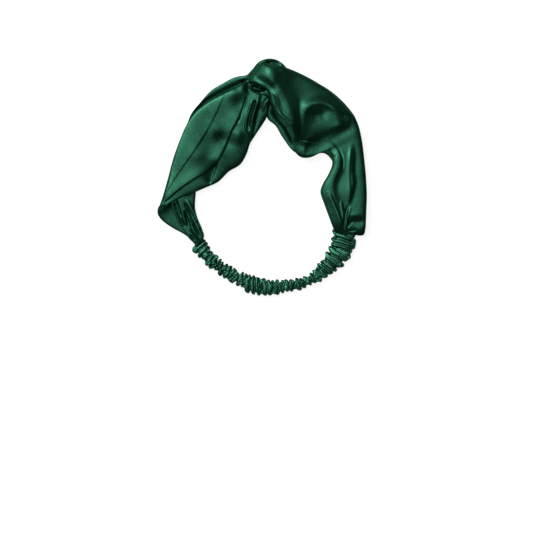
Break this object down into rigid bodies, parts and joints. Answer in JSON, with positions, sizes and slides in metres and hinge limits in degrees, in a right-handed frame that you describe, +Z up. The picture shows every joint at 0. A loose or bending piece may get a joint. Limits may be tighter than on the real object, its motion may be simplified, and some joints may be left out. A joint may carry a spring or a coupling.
{
  "type": "knotted headband",
  "caption": "Soft satin headband of two interlocked pleated loops knotted over the brow, joined behind the head by an elastic in a gathered casing.",
  "frame": {"origin": "centre of the headband's bounding box on the surface that it lies on, outer face up", "axes": "+Y from the gathered strap towards the knot, +X towards the wider right half as seen from above, +Z up from the table"},
  "size_m": [0.209, 0.236, 0.0252],
  "materials": {
    "satin": "deep green satin, glossy along its folds",
    "casing_satin": "deep green satin, gathered into fine ruffles",
    "elastic": "woven white elastic tape",
    "thread": "twisted sewing thread, slightly lighter than the satin"
  },
  "bodies": {
    "right_half": {"right_loop": "satin", "casing_right_end": "casing_satin", "elastic_right_end": "elastic", "right_joint_stitches": "thread", "right_elastic_tack": "thread"},
    "left_half": {"left_loop": "satin", "casing_left_end": "casing_satin", "elastic_left_end": "elastic", "left_joint_stitches": "thread", "left_elastic_tack": "thread"},
    "strap_right": {"casing_right": "casing_satin", "elastic_right": "elastic"},
    "strap_middle": {"casing_middle": "casing_satin", "elastic_middle": "elastic"},
    "strap_left": {"casing_left": "casing_satin", "elastic_left": "elastic"}
  },
  "joints": [
    {"name": "knot_open", "type": "hinge", "parent": "right_half", "child": "left_half", "pos_m": [-0.005, 0.098, 0], "axis": [0, 0, -1], "range_deg": [0, 36], "stiffness_Nm_per_rad": 1},
    {"name": "strap_right_stretch", "type": "hinge", "parent": "right_half", "child": "strap_right", "pos_m": [-0.005, 0.098, 0], "axis": [0, 0, -1], "range_deg": [0, 9]},
    {"name": "strap_middle_stretch", "type": "hinge", "parent": "right_half", "child": "strap_middle", "pos_m": [-0.005, 0.098, 0], "axis": [0, 0, -1], "range_deg": [0, 18]},
    {"name": "strap_left_stretch", "type": "hinge", "parent": "right_half", "child": "strap_left", "pos_m": [-0.005, 0.098, 0], "axis": [0, 0, -1], "range_deg": [0, 27]}
  ],
  "couplings": [
    {"joint": "strap_right_stretch", "follows": "knot_open", "ratio": 0.25},
    {"joint": "strap_middle_stretch", "follows": "knot_open", "ratio": 0.5},
    {"joint": "strap_left_stretch", "follows": "knot_open", "ratio": 0.75}
  ]
}
